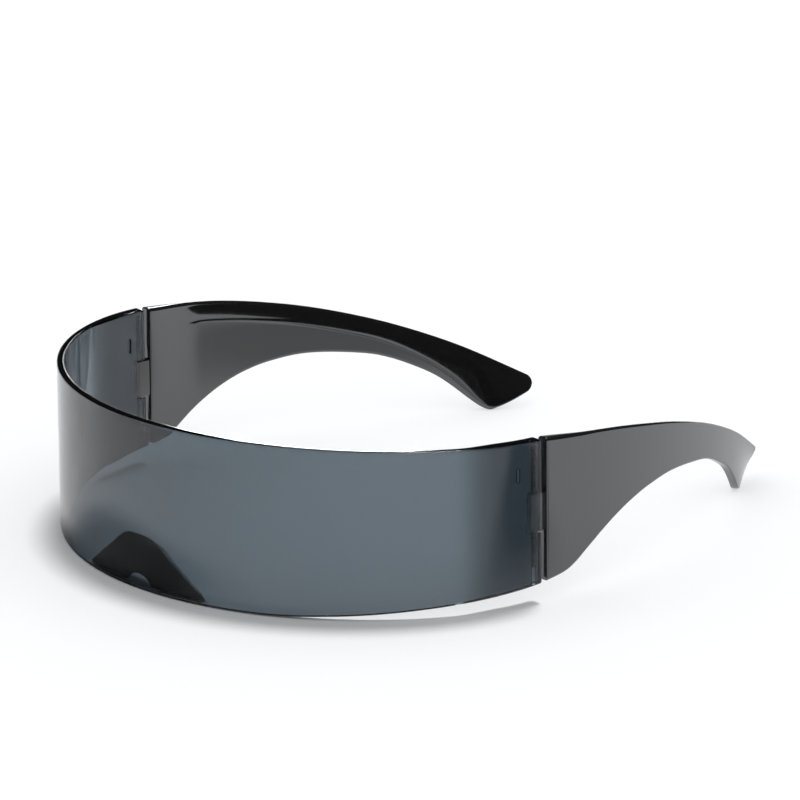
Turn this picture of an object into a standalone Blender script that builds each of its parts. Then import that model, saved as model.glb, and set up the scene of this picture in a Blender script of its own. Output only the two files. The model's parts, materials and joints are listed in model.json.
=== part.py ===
"""Wraparound shield sunglasses: a one-piece curved visor lens, two swept temples that fold on
pinned hinges, and a nose saddle behind the lens.

Metres, +Z up. The lens faces -Y and the wearer's left is +X. Every piece is modelled as worn,
with the hinge pins upright and the bottom centre of the lens's outer face at the origin. The
empty rest_pose then tips the whole so that it stands on the lens and on both temple tips.
"""

import math

import bmesh
import bpy
import numpy as np
from mathutils import Matrix, Vector

# Visor lens: the outer face in plan is one cubic curve on each side of the middle
HINGE_WIDTH = 0.150
LENS_DEPTH = 0.0587
FRONT_HANDLE = 0.0452
SIDE_HANDLE = 0.0253
LENS_HEIGHT = 0.0404
END_RISE = 0.0067
FRONT_WALL = 0.0019
END_WALL = 0.0032
RIM_RADIUS = 0.0007
WALL_GROWTH_START_SHARE = 0.76
WALL_GROWTH_END_SHARE = 0.91
LENS_RISE_SHARES = ((0.0, 0.0), (0.35, 0.065), (0.55, 0.26), (0.75, 0.565), (1.0, 1.0))

# Hinges: the temple's tab sits in a pocket of the lens end, between two knuckles. The pocket is
# open to the inside and to the back, and the skin left outside it stops the temple at straight
PIN_SETBACK = 0.0017
HINGE_GAP = 0.0014
POCKET_SKIN = 0.0007
TAB_WALL = 0.0019
TAB_PLAY = 0.00025
TAB_NOSE_PLAY = 0.0005
TAB_RISE = 0.0121
TAB_HEIGHT = 0.0090
TAB_ROOT = 0.004
PIN_DIAMETER = 0.0012
PIN_CLEARANCE = 0.00005
PIN_END_BEVEL = 0.0002
PIN_FOOT_DEPTH = 0.004
PIN_HEAD_PLAY = 0.0003
BORE_COVER = 0.0015
MARK_WIDTH = 0.0010
MARK_HEIGHT = 0.0036
MARK_DEPTH = 0.0004
MARK_SETBACK = 0.0054
MARK_DROP = 0.0080

# Temples: the outer face in plan is one cubic curve from the hinge to the tip
TEMPLE_BACK = 0.0957
TIP_INSET = 0.0338
HINGE_HANDLE = 0.0120
TIP_HANDLE = 0.0611
TIP_TURN = math.radians(34.8)
TEMPLE_WALL = 0.0021
TIP_WALL = 0.0014
TEMPLE_THINNING = 0.016
TIP_LEAN = 0.45
LEAN_POWER = 12.0
TIP_DROP = 0.0276
WAIST_RISE = 0.02255
PADDLE_FOOT = 0.00305
TIP_END_HEIGHT = 0.0031
TEMPLE_EDGE_RADIUS = 0.0008
TIP_ROUNDING = 0.0012
FOOT_ROUNDING = 0.0048
PADDLE_FOOT_SHARE = 0.8965
TIP_TAPER_START_SHARE = 0.3
TOP_DROP_SHARES = ((0.0, 0.0), (0.19, 0.06), (0.39, 0.18), (0.6, 0.378), (0.8, 0.646), (1.0, 1.0))
UNDERSIDE_RISE_SHARES = (
    (0.0, 0.0),
    (0.069, 0.032),
    (0.138, 0.0765),
    (0.207, 0.1775),
    (0.276, 0.314),
    (0.369, 0.485),
    (0.484, 0.662),
    (0.622, 0.821),
    (0.783, 0.9355),
    (1.0, 1.0),
)
UNDERSIDE_FALL_SHARES = ((0.0, 1.0), (0.33, 0.928), (0.67, 0.633), (1.0, 0.0))
WAIST_SHARE = 0.434

# Nose saddle: an arch that widens towards the lens, round an opening that widens away from it
SADDLE_HALF_WIDTH = 0.0217
SADDLE_HEIGHT = 0.0121
SADDLE_BACK_HALF_WIDTH = 0.0152
SADDLE_BACK_HEIGHT = 0.0084
SADDLE_DEPTH = 0.0048
SADDLE_LIFT = 0.0008
NOSE_HALF_WIDTH = 0.0075
NOSE_HEIGHT = 0.0067
NOSE_BACK_HALF_WIDTH = 0.0102
NOSE_BACK_HEIGHT = 0.0062
SEAT_GAP = 0.0003
SADDLE_CORNER_SHARE = 0.16
SADDLE_BEVEL_SHARE = 0.05
SADDLE_OUTLINE_SHARES = (
    (0.0, 1.0),
    (0.16, 0.985),
    (0.25, 0.935),
    (0.36, 0.81),
    (0.45, 0.69),
    (0.58, 0.52),
    (0.71, 0.365),
    (0.85, 0.2),
    (0.93, 0.11),
    (1.0, 0.0),
)

# How far an edge's rounding may go into its wall, and what is left flat at a paddle's end
FILLET_LIMIT_SHARE = 0.45
END_FACE_SHARE = 0.14

# How finely the curved faces are cut
PATH_STEPS = 400
LENS_STATIONS = 61
TEMPLE_STATIONS = 44
TIP_STATIONS = 9
CORNER_STEPS = 3
SADDLE_STATIONS = 33
SADDLE_FRONT_STEPS = 4
TAB_NOSE_STEPS = 12
ROUND_SIDES = 24
SHARP_ANGLE = math.radians(30.0)


def clear_scene():
    for item in list(bpy.data.objects):
        bpy.data.objects.remove(item, do_unlink=True)


def smooth_through(table, share):
    """The value at share of a smooth curve through the table's points, with no overshoot."""
    places = np.array([row[0] for row in table])
    values = np.array([row[1] for row in table])
    steps = np.diff(places)
    rises = np.diff(values) / steps
    slopes = np.zeros(len(places))
    slopes[0] = rises[0]
    slopes[-1] = rises[-1]
    for k in range(1, len(places) - 1):
        if rises[k - 1] * rises[k] > 0.0:
            slopes[k] = 2.0 * rises[k - 1] * rises[k] / (rises[k - 1] + rises[k])
    share = min(max(share, places[0]), places[-1])
    k = min(int(np.searchsorted(places, share, side="right")) - 1, len(steps) - 1)
    t = (share - places[k]) / steps[k]
    start = values[k] * (1 + 2 * t) * (1 - t) ** 2 + steps[k] * slopes[k] * t * (1 - t) ** 2
    end = values[k + 1] * t * t * (3 - 2 * t) + steps[k] * slopes[k + 1] * t * t * (t - 1)
    return start + end


def ease(share):
    """0 to 1 with level ends."""
    share = min(max(share, 0.0), 1.0)
    return share * share * (3 - 2 * share)


class Plan:
    """The outer face in plan on the +X side, a cubic curve measured by distance along it."""

    def __init__(self, *handles):
        t = np.linspace(0.0, 1.0, PATH_STEPS + 1)[:, None]
        a, b, c, d = (np.array(handle) for handle in handles)
        self.points = a * (1 - t) ** 3 + 3 * b * t * (1 - t) ** 2 + 3 * c * t * t * (1 - t) + d * t**3
        pieces = np.linalg.norm(np.diff(self.points, axis=0), axis=1)
        self.runs = np.concatenate([[0.0], np.cumsum(pieces)])
        tangents = np.gradient(self.points, axis=0)
        tangents /= np.linalg.norm(tangents, axis=1)[:, None]
        self.inward = np.column_stack([-tangents[:, 1], tangents[:, 0]])
        self.length = float(self.runs[-1])

    def at(self, run, inset):
        """The point at a distance along the curve, moved inward by inset."""
        face = self.points + inset * self.inward
        return tuple(float(np.interp(run, self.runs, face[:, k])) for k in (0, 1))

    def depth_at_width(self, x, inset):
        """How far back the face that lies inset behind the outer one is at width x."""
        face = self.points + inset * self.inward
        return float(np.interp(abs(x), face[:, 0], face[:, 1]))


HALF_WIDTH = HINGE_WIDTH / 2
LENS_PLAN = Plan(
    (0.0, 0.0),
    (FRONT_HANDLE, 0.0),
    (HALF_WIDTH, LENS_DEPTH - SIDE_HANDLE),
    (HALF_WIDTH, LENS_DEPTH),
)
TEMPLE_START = LENS_DEPTH + HINGE_GAP
TEMPLE_PLAN = Plan(
    (HALF_WIDTH, TEMPLE_START),
    (HALF_WIDTH, TEMPLE_START + HINGE_HANDLE),
    (
        HALF_WIDTH - TIP_INSET + TIP_HANDLE * math.sin(TIP_TURN),
        LENS_DEPTH + TEMPLE_BACK - TIP_HANDLE * math.cos(TIP_TURN),
    ),
    (HALF_WIDTH - TIP_INSET, LENS_DEPTH + TEMPLE_BACK),
)
TAB_FOOT = END_RISE + TAB_RISE
TAB_HEAD = TAB_FOOT + TAB_HEIGHT
PIN_X = HALF_WIDTH - POCKET_SKIN - TAB_PLAY - TAB_WALL / 2
PIN_Y = LENS_DEPTH - PIN_SETBACK
BORE_RADIUS = PIN_DIAMETER / 2 + PIN_CLEARANCE
BORE_TOP = LENS_HEIGHT - BORE_COVER
UNDERSIDE = [
    (along * WAIST_SHARE, END_RISE + rise * (WAIST_RISE - END_RISE))
    for along, rise in UNDERSIDE_RISE_SHARES
] + [
    (
        WAIST_SHARE + along * (PADDLE_FOOT_SHARE - WAIST_SHARE),
        PADDLE_FOOT + rise * (WAIST_RISE - PADDLE_FOOT),
    )
    for along, rise in UNDERSIDE_FALL_SHARES[1:]
]


def make_material(name, colour, roughness, metallic, alpha):
    material = bpy.data.materials.new(name)
    material.use_nodes = True
    shader = material.node_tree.nodes["Principled BSDF"]
    shader.inputs["Base Color"].default_value = (*colour, 1.0)
    shader.inputs["Roughness"].default_value = roughness
    shader.inputs["Metallic"].default_value = metallic
    shader.inputs["Alpha"].default_value = alpha
    material.diffuse_color = (*colour, 1.0)
    return material


def finish_object(name, mesh, material, origin=(0.0, 0.0, 0.0)):
    """An object whose mesh, built as worn, gets the given origin."""
    item = bpy.data.objects.new(name, mesh)
    bpy.context.scene.collection.objects.link(item)
    mesh.transform(Matrix.Translation(-Vector(origin)))
    item.location = origin
    if material is not None:
        mesh.materials.append(material)
    mesh.shade_smooth()
    mesh.set_sharp_from_angle(angle=SHARP_ANGLE)
    return item


def to_mesh(name, work):
    bmesh.ops.recalc_face_normals(work, faces=work.faces)
    mesh = bpy.data.meshes.new(name)
    work.to_mesh(mesh)
    work.free()
    return mesh


def skin(name, rings):
    """A closed mesh through rings of points, with a flat face on each end."""
    work = bmesh.new()
    rows = [[work.verts.new(point) for point in ring] for ring in rings]
    for row, after in zip(rows, rows[1:]):
        for k, vertex in enumerate(row):
            ahead = (k + 1) % len(row)
            work.faces.new((vertex, row[ahead], after[ahead], after[k]))
    work.faces.new(rows[0])
    work.faces.new(rows[-1])
    return to_mesh(name, work)


def prism(name, outline, foot, head):
    """A closed mesh over a plan outline, from one height to another."""
    return skin(name, [[(x, y, z) for x, y in outline] for z in (foot, head)])


def rounded_section(wall, foot, head, radius):
    """Points round a section: how far in from the outer face, and the height."""
    radius = min(radius, FILLET_LIMIT_SHARE * wall, FILLET_LIMIT_SHARE * (head - foot))
    corners = (
        (radius, foot + radius, math.pi),
        (wall - radius, foot + radius, 1.5 * math.pi),
        (wall - radius, head - radius, 0.0),
        (radius, head - radius, 0.5 * math.pi),
    )
    points = []
    for inset, height, start in corners:
        for k in range(CORNER_STEPS + 1):
            angle = start + 0.5 * math.pi * k / CORNER_STEPS
            points.append((inset + radius * math.cos(angle), height + radius * math.sin(angle)))
    return points


def add_cutter(item, name, mesh, operation="DIFFERENCE"):
    """A hidden shape that a Boolean modifier takes away from item, or adds to it."""
    cutter = bpy.data.objects.new(name, mesh)
    bpy.context.scene.collection.objects.link(cutter)
    cutter.hide_render = True
    cutter.display_type = "WIRE"
    modifier = item.modifiers.new(name, "BOOLEAN")
    modifier.operation = operation
    modifier.solver = "EXACT"
    modifier.object = cutter
    return cutter


def circle(x, y, radius):
    turns = [2 * math.pi * k / ROUND_SIDES for k in range(ROUND_SIDES)]
    return [(x + radius * math.cos(turn), y + radius * math.sin(turn)) for turn in turns]


def lens_wall(share):
    """The lens thickens towards its hinge ends, where the pins run inside the wall."""
    growth = ease((share - WALL_GROWTH_START_SHARE) / (WALL_GROWTH_END_SHARE - WALL_GROWTH_START_SHARE))
    return FRONT_WALL + (END_WALL - FRONT_WALL) * growth


def mark_shape(side, word):
    """The slot-shaped moulding mark sunk in the inner face ahead of each hinge."""
    run = LENS_PLAN.length - MARK_SETBACK
    wall = lens_wall(run / LENS_PLAN.length)
    deep_x, y = LENS_PLAN.at(run, wall - MARK_DEPTH)
    clear_x = deep_x - END_WALL
    middle = LENS_HEIGHT - MARK_DROP
    radius = MARK_WIDTH / 2
    straight = (MARK_HEIGHT - MARK_WIDTH) / 2
    outline = []
    for k in range(ROUND_SIDES):
        turn = 2 * math.pi * k / ROUND_SIDES
        lift = straight if k <= ROUND_SIDES // 2 else -straight
        outline.append((y + radius * math.cos(turn), middle + lift + radius * math.sin(turn)))
    return skin("mark_" + word, [[(side * x, y, z) for y, z in outline] for x in (deep_x, clear_x)])


def build_lens(material):
    rings = []
    for place in np.linspace(-1.0, 1.0, LENS_STATIONS):
        share = abs(float(place))
        side = 1 if place >= 0.0 else -1
        foot = END_RISE * smooth_through(LENS_RISE_SHARES, share)
        ring = []
        for inset, height in rounded_section(lens_wall(share), foot, LENS_HEIGHT, RIM_RADIUS):
            x, y = LENS_PLAN.at(share * LENS_PLAN.length, inset)
            ring.append((side * x, y, height))
        rings.append(ring)
    lens = finish_object("visor_lens", skin("visor_lens", rings), material)
    cutters = []
    for side, word in ((1, "left"), (-1, "right")):
        inner = side * (HALF_WIDTH - 2 * END_WALL)
        outer = side * (HALF_WIDTH - POCKET_SKIN)
        ahead = PIN_Y - TAB_WALL / 2 - TAB_NOSE_PLAY
        behind = LENS_DEPTH + HINGE_GAP
        outline = [(inner, ahead), (outer, ahead), (outer, behind), (inner, behind)]
        pocket = prism("pocket_" + word, outline, TAB_FOOT - TAB_PLAY, TAB_HEAD + TAB_PLAY)
        cutters.append(add_cutter(lens, "cut_pocket_" + word, pocket))
        bore = prism("bore_" + word, circle(side * PIN_X, PIN_Y, BORE_RADIUS), 0.0, BORE_TOP)
        cutters.append(add_cutter(lens, "cut_bore_" + word, bore))
        cutters.append(add_cutter(lens, "cut_mark_" + word, mark_shape(side, word)))
    return lens, cutters


def temple_edges(run):
    """The heights of the temple's underside and top at a distance from the hinge."""
    length = TEMPLE_PLAN.length
    share = run / length
    top = LENS_HEIGHT - TIP_DROP * smooth_through(TOP_DROP_SHARES, share)
    foot = smooth_through(UNDERSIDE, share)
    end_foot = LENS_HEIGHT - TIP_DROP - TIP_END_HEIGHT
    cut = PADDLE_FOOT + (end_foot - PADDLE_FOOT) * (share - PADDLE_FOOT_SHARE) / (1 - PADDLE_FOOT_SHARE)
    apart = foot - cut
    foot = (foot + cut + math.hypot(apart, FOOT_ROUNDING)) / 2
    spare = run - (length - TIP_ROUNDING)
    if spare > 0.0:
        squeeze = math.sqrt(max(1 - (spare / TIP_ROUNDING) ** 2, END_FACE_SHARE**2))
        middle = (top + foot) / 2
        top = middle + (top - middle) * squeeze
        foot = middle - (middle - foot) * squeeze
    return foot, top


def temple_runs():
    """Distances of the sections from the hinge, close together round the paddle's end."""
    length = TEMPLE_PLAN.length
    body = np.linspace(0.0, length - TIP_ROUNDING, TEMPLE_STATIONS)
    turns = np.linspace(0.0, 0.5 * math.pi, TIP_STATIONS)[1:]
    return [*body, *(length - TIP_ROUNDING + TIP_ROUNDING * np.sin(turns))]


def temple_wall(run):
    """As thick as the lens end at the hinge, soon thinner, and tapering on to the tip."""
    taper = (run / TEMPLE_PLAN.length - TIP_TAPER_START_SHARE) / (1 - TIP_TAPER_START_SHARE)
    wall = END_WALL + (TEMPLE_WALL - END_WALL) * ease(run / TEMPLE_THINNING)
    return wall + (TIP_WALL - TEMPLE_WALL) * max(taper, 0.0)


def build_temple(side, word, material):
    rings = []
    for run in temple_runs():
        foot, top = temple_edges(run)
        lean = TIP_LEAN * (run / TEMPLE_PLAN.length) ** LEAN_POWER
        ring = []
        for inset, height in rounded_section(temple_wall(run), foot, top, TEMPLE_EDGE_RADIUS):
            x, y = TEMPLE_PLAN.at(run, inset + lean * (top - height))
            ring.append((side * x, y, height))
        rings.append(ring)
    name = "temple_" + word
    pivot = (side * PIN_X, PIN_Y, (TAB_FOOT + TAB_HEAD) / 2)
    temple = finish_object(name, skin(name, rings), material, pivot)
    half = TAB_WALL / 2
    nose = [math.pi * k / TAB_NOSE_STEPS for k in range(TAB_NOSE_STEPS + 1)]
    outline = [(side * PIN_X + half * math.cos(turn), PIN_Y - half * math.sin(turn)) for turn in nose]
    root = TEMPLE_START + TAB_ROOT
    outline += [(side * PIN_X - half, root), (side * PIN_X + half, root)]
    tab = prism("tab_" + word, outline, TAB_FOOT, TAB_HEAD)
    reach = TAB_FOOT - TAB_PLAY, TAB_HEAD + TAB_PLAY
    bore = prism("tab_bore_" + word, circle(side * PIN_X, PIN_Y, BORE_RADIUS), *reach)
    cutters = [
        add_cutter(temple, "add_tab_" + word, tab, "UNION"),
        add_cutter(temple, "cut_tab_bore_" + word, bore),
    ]
    return temple, cutters


def build_pin(side, word, material):
    """A plain steel pin, pushed up from below into the blind bore."""
    foot = END_RISE + PIN_FOOT_DEPTH
    head = BORE_TOP - PIN_HEAD_PLAY
    radius = PIN_DIAMETER / 2
    levels = (
        (radius - PIN_END_BEVEL, foot),
        (radius, foot + PIN_END_BEVEL),
        (radius, head - PIN_END_BEVEL),
        (radius - PIN_END_BEVEL, head),
    )
    centre = (side * PIN_X, PIN_Y)
    rings = [[(x, y, z) for x, y in circle(*centre, size)] for size, z in levels]
    return finish_object("hinge_pin_" + word, skin("hinge_pin_" + word, rings), material, (*centre, foot))


def saddle_section(place):
    """One section of the arch: place runs from -1 at one foot over the top to 1 at the other."""
    share = abs(place)
    side = 1 if place >= 0.0 else -1
    outer_height = smooth_through(SADDLE_OUTLINE_SHARES, share)
    turn = 0.5 * math.pi * share

    def point(across, back):
        outer_x = share * (SADDLE_HALF_WIDTH + (SADDLE_BACK_HALF_WIDTH - SADDLE_HALF_WIDTH) * back)
        outer_z = outer_height * (SADDLE_HEIGHT + (SADDLE_BACK_HEIGHT - SADDLE_HEIGHT) * back)
        nose_x = math.sin(turn) * (NOSE_HALF_WIDTH + (NOSE_BACK_HALF_WIDTH - NOSE_HALF_WIDTH) * back)
        nose_z = math.cos(turn) * (NOSE_HEIGHT + (NOSE_BACK_HEIGHT - NOSE_HEIGHT) * back)
        x = outer_x + (nose_x - outer_x) * across
        z = outer_z + (nose_z - outer_z) * across
        y = LENS_PLAN.depth_at_width(x, FRONT_WALL + SEAT_GAP) + back * SADDLE_DEPTH
        return side * x, y, z + SADDLE_LIFT

    corner = SADDLE_CORNER_SHARE
    bevel = SADDLE_BEVEL_SHARE
    ring = [point(float(across), 0.0) for across in np.linspace(corner, 1 - corner, SADDLE_FRONT_STEPS + 1)]
    ring += [point(1 - bevel, bevel), point(1.0, corner)]
    ring += [point(1.0, 1 - corner), point(1 - bevel, 1 - bevel)]
    ring += [point(1 - corner, 1.0), point(corner, 1.0)]
    ring += [point(bevel, 1 - bevel), point(0.0, 1 - corner)]
    ring += [point(0.0, corner / 2), point(bevel, 0.0)]
    return ring


def build_saddle(material):
    rings = [saddle_section(float(place)) for place in np.linspace(-1.0, 1.0, SADDLE_STATIONS)]
    return finish_object("nose_saddle", skin("nose_saddle", rings), material)


def corners_of(item):
    """The object's vertices as worn."""
    return np.array([item.matrix_basis @ vertex.co for vertex in item.data.vertices])


def lowest(points, pitch):
    return float((points[:, 2] * math.cos(pitch) - points[:, 1] * math.sin(pitch)).min())


def resting_pitch(front, back):
    """The angle at which the front piece and the back pieces reach equally low."""
    low, high = -0.25 * math.pi, 0.25 * math.pi
    for _ in range(60):
        pitch = (low + high) / 2
        if lowest(front, pitch) < lowest(back, pitch):
            low = pitch
        else:
            high = pitch
    return (low + high) / 2


def main():
    clear_scene()
    smoke = make_material("smoke_lens", (0.06, 0.07, 0.08), 0.06, 0.0, 0.75)
    gloss_grey = make_material("gloss_grey_plastic", (0.05, 0.05, 0.052), 0.14, 0.0, 1.0)
    saddle_black = make_material("black_saddle_plastic", (0.015, 0.015, 0.016), 0.35, 0.0, 1.0)
    steel = make_material("pin_steel", (0.62, 0.62, 0.64), 0.3, 1.0, 1.0)

    lens, cutters = build_lens(smoke)
    pieces = [lens, build_saddle(saddle_black)]
    temples = []
    for side, word in ((1, "left"), (-1, "right")):
        temple, temple_cutters = build_temple(side, word, gloss_grey)
        temples.append(temple)
        cutters += temple_cutters
        pieces.append(build_pin(side, word, steel))
    pieces += temples

    rest_pose = bpy.data.objects.new("rest_pose", None)
    bpy.context.scene.collection.objects.link(rest_pose)
    pitch = resting_pitch(corners_of(lens), np.vstack([corners_of(item) for item in temples]))
    everything = np.vstack([corners_of(item) for item in pieces])
    tipped = everything[:, 1] * math.cos(pitch) + everything[:, 2] * math.sin(pitch)
    rest_pose.rotation_euler = (-pitch, 0.0, 0.0)
    rest_pose.location = (0.0, -float(tipped.max() + tipped.min()) / 2, -lowest(everything, pitch))
    for item in [*pieces, *cutters]:
        item.parent = rest_pose
    print("rest pitch in degrees", math.degrees(pitch))


main()
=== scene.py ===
"""Wraparound shield sunglasses: a curved smoke shield, two folding temples on steel pins, and a
nose saddle behind the shield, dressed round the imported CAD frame.

Every piece is first shaped as worn, with the hinge pins upright and the bottom centre of the
shield's outer face at the origin, and then tipped to the frame's resting pose. Metres, +Z up, the
shield faces -Y and the wearer's left is +X.
"""

import json
import math

import bmesh
import bpy
import numpy as np
from mathutils import Matrix, Vector


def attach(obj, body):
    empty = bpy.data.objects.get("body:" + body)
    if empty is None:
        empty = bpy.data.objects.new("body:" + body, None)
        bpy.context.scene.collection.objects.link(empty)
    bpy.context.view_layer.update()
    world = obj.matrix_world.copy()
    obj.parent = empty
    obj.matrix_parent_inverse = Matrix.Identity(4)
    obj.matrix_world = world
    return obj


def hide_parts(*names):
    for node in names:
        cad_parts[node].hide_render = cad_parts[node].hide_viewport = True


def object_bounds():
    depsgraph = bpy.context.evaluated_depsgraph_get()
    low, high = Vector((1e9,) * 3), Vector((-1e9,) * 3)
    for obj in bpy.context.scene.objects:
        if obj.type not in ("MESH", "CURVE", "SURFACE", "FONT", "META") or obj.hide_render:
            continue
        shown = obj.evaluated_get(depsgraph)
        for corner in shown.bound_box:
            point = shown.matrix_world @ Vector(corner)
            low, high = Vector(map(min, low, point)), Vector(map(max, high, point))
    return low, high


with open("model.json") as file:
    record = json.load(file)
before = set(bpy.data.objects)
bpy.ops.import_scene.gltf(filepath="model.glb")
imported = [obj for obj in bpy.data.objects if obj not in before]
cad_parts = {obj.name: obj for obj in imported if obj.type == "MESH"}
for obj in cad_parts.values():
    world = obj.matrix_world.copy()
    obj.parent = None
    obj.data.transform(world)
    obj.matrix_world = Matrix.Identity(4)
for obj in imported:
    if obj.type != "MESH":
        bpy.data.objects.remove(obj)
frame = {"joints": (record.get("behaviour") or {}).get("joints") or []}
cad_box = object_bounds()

bl_info = {
    "name": "Shield Sunglasses",
    "version": (1, 0, 0),
    "blender": (4, 5, 0),
    "location": "View3D > Sidebar > Glasses",
    "description": "Builds wraparound shield sunglasses with folding temples",
    "category": "Add Mesh",
}

# Shape tables, as shares of a length against shares of a size, close to those of the CAD source
SHIELD_RISE_SHARES = (
    (-0.35, 0.065), (0.0, 0.0), (0.35, 0.065), (0.55, 0.26), (0.75, 0.565), (1.0, 1.0)
)
TOP_DROP_SHARES = ((0.0, 0.0), (0.19, 0.06), (0.39, 0.18), (0.6, 0.378), (0.8, 0.646), (1.0, 1.0))
UNDERSIDE_RISE_SHARES = (
    (0.0, 0.0), (0.069, 0.032), (0.138, 0.0765), (0.207, 0.1775), (0.276, 0.314),
    (0.369, 0.485), (0.484, 0.662), (0.622, 0.821), (0.783, 0.9355), (1.0, 1.0),
)
UNDERSIDE_FALL_SHARES = ((0.0, 1.0), (0.33, 0.928), (0.67, 0.633), (1.0, 0.0))
SADDLE_OUTLINE_SHARES = (
    (-0.16, 0.985), (0.0, 1.0), (0.16, 0.985), (0.25, 0.935), (0.36, 0.81), (0.45, 0.69),
    (0.58, 0.52), (0.71, 0.365), (0.85, 0.185), (0.93, 0.095), (1.0, 0.0),
)
WAIST_SHARE = 0.434
PADDLE_FOOT_SHARE = 0.8965
PADDLE_ROLL_START_SHARE = 0.58
PADDLE_ROLL_END_SHARE = 0.95
ROLL_LAW = 1.4
ROLL_LIMIT_SHARE = 0.6
BAND_LIMIT_SHARE = 0.95
TIP_TAPER_START_SHARE = 0.3
LEAN_POWER = 12.0
WALL_GROWTH_START_SHARE = 0.79
WALL_GROWTH_END_SHARE = 0.91
END_FACE_SHARE = 0.14
ROUND_LIMIT_SHARE = 0.45

# How finely the faces are cut
PATH_STEPS = 4000
SHIELD_STATIONS = 150
TEMPLE_STATIONS = 190
TIP_STATIONS = 12
END_ROUND_STATIONS = 5
ROUND_STEPS = 8
CROWN_STEPS = 10
SUPPORT_SHARE = 0.4
INNER_SUPPORTS = (0.25, 0.5, 0.75)
SADDLE_STATIONS = 129
SADDLE_FRONT_STOPS = 8
BORE_SIDES = 48
NOSE_STEPS = 24
FAIRING_POINTS = 801
FAIRING_REACH = 22
MERGE_DISTANCE = 2e-6
SHARP_ANGLE = math.radians(32.0)
QUARTER_TURN = 0.5 * math.pi

# Small forms: the mark's swell down its depth, the tab's bevel as shares drawn in and run up,
# and how far each half of a pin's bevel narrows it
MARK_SWELLS = ((0.0, 0.6), (0.3, 0.9), (1.0, 1.0))
TAB_BEVEL_SHARES = ((1.0, 0.0), (0.3, 0.3), (0.0, 1.0), (0.0, 1.5))
PIN_NARROWINGS = (0.25, 0.75)
SIDES = ((1, "left"), (-1, "right"))

# What a wall's section and its rail store on their points
SECTION_NUMBERS = ("across", "up", "drop", "bulge", "pocket_low", "pocket_high", "deep")
RAIL_NUMBERS = ("wall", "foot", "head", "lean", "outset", "crown", "band", "end_round", "open")

# Finishes
WHITE = (1.0, 1.0, 1.0, 1.0)
NOISE_RANGE = (0.3, 0.7)
HAZE_RANGE = (0.1, 0.45)
WAVE_HEIGHT = 0.0006
FINE_HEIGHT = 0.00002
SMOKE_REFRACTION = 1.55
RUBBED_ROUGHNESS = 0.08

# Stage
FLOOR_DROP = 2e-5
BACKDROP_SOFTNESS = math.radians(6.0)
SENSOR_WIDTH = 36.0
CLIP_START, CLIP_END = 0.01, 100.0
# Patches of painted shade on the floor that only glossy faces show, standing in for the glasses'
# shade
# in their reflections: middle, turn, reach, the share of the reach with full shade, and brightness
SHADE_PATCHES = (
    ((0.022, 0.010), math.radians(31.0), (0.075, 0.049), 0.48, 0.56),
    ((0.158, 0.008), math.radians(24.0), (0.09, 0.035), 0.4, 0.22),
    ((-0.022, -0.088), 0.0, (0.06, 0.036), 0.4, 0.2),
)


def real(name, default, description, **traits):
    return bpy.props.FloatProperty(name=name, default=default, description=description, **traits)


def length(name, default, description):
    """A size in metres for the sidebar."""
    return real(name, default, description, min=0.0, unit="LENGTH", precision=5)


def share(name, default, description):
    return real(name, default, description, min=0.0, soft_max=1.0, subtype="FACTOR")


def angle(name, degrees, description):
    return real(name, math.radians(degrees), description, subtype="ANGLE")


def vector(name, default, description, **traits):
    return bpy.props.FloatVectorProperty(
        name=name, default=default, description=description, **traits
    )


def colour(name, default, description):
    return vector(name, default, description, min=0.0, max=1.0, size=3, subtype="COLOR")


def subgroup(kind, name, description):
    return bpy.props.PointerProperty(type=kind, name=name, description=description)


class ShieldSizes(bpy.types.PropertyGroup):
    """Sizes and finish of the one-piece shield."""

    width: length("Width", 0.150, "Overall width at the hinges")
    depth: length("Depth", 0.0587, "From the outer front to the hinge ends")
    front_handle: length("Front handle", 0.0452, "How flat the front runs before it turns")
    side_handle: length("Side handle", 0.0253, "How straight the sides run to the hinges")
    height: length("Height", 0.0404, "Height at the middle")
    end_rise: length("End rise", 0.0067, "How far the lower edge rises towards the hinges")
    front_wall: length("Front wall", 0.0019, "Wall over the front")
    end_wall: length("End wall", 0.0032, "Wall at the hinge ends")
    rim_radius: length("Rim radius", 0.0004, "Rounding of the upper and lower rims")
    end_radius: length("End radius", 0.0005, "Rounding of the hinge ends")
    pocket_skin: length("Pocket skin", 0.0007, "Wall left outside the hinge pocket")
    mark_width: length("Mark width", 0.0010, "Width of the moulding mark")
    mark_height: length("Mark height", 0.0036, "Height of the moulding mark")
    mark_depth: length("Mark depth", 0.0004, "Depth of the moulding mark")
    mark_setback: length("Mark setback", 0.0054, "From the hinge end to the mark")
    mark_drop: length("Mark drop", 0.0080, "From the upper rim to the mark")
    tint: colour("Tint", (0.057, 0.167, 0.239), "Colour that the smoke plastic lets through")
    tint_density: real(
        "Tint density", 1250.0, "How quickly the plastic takes up light, per metre", min=0.0
    )
    waviness: share("Waviness", 0.18, "How strongly the moulded surface waves")


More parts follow.
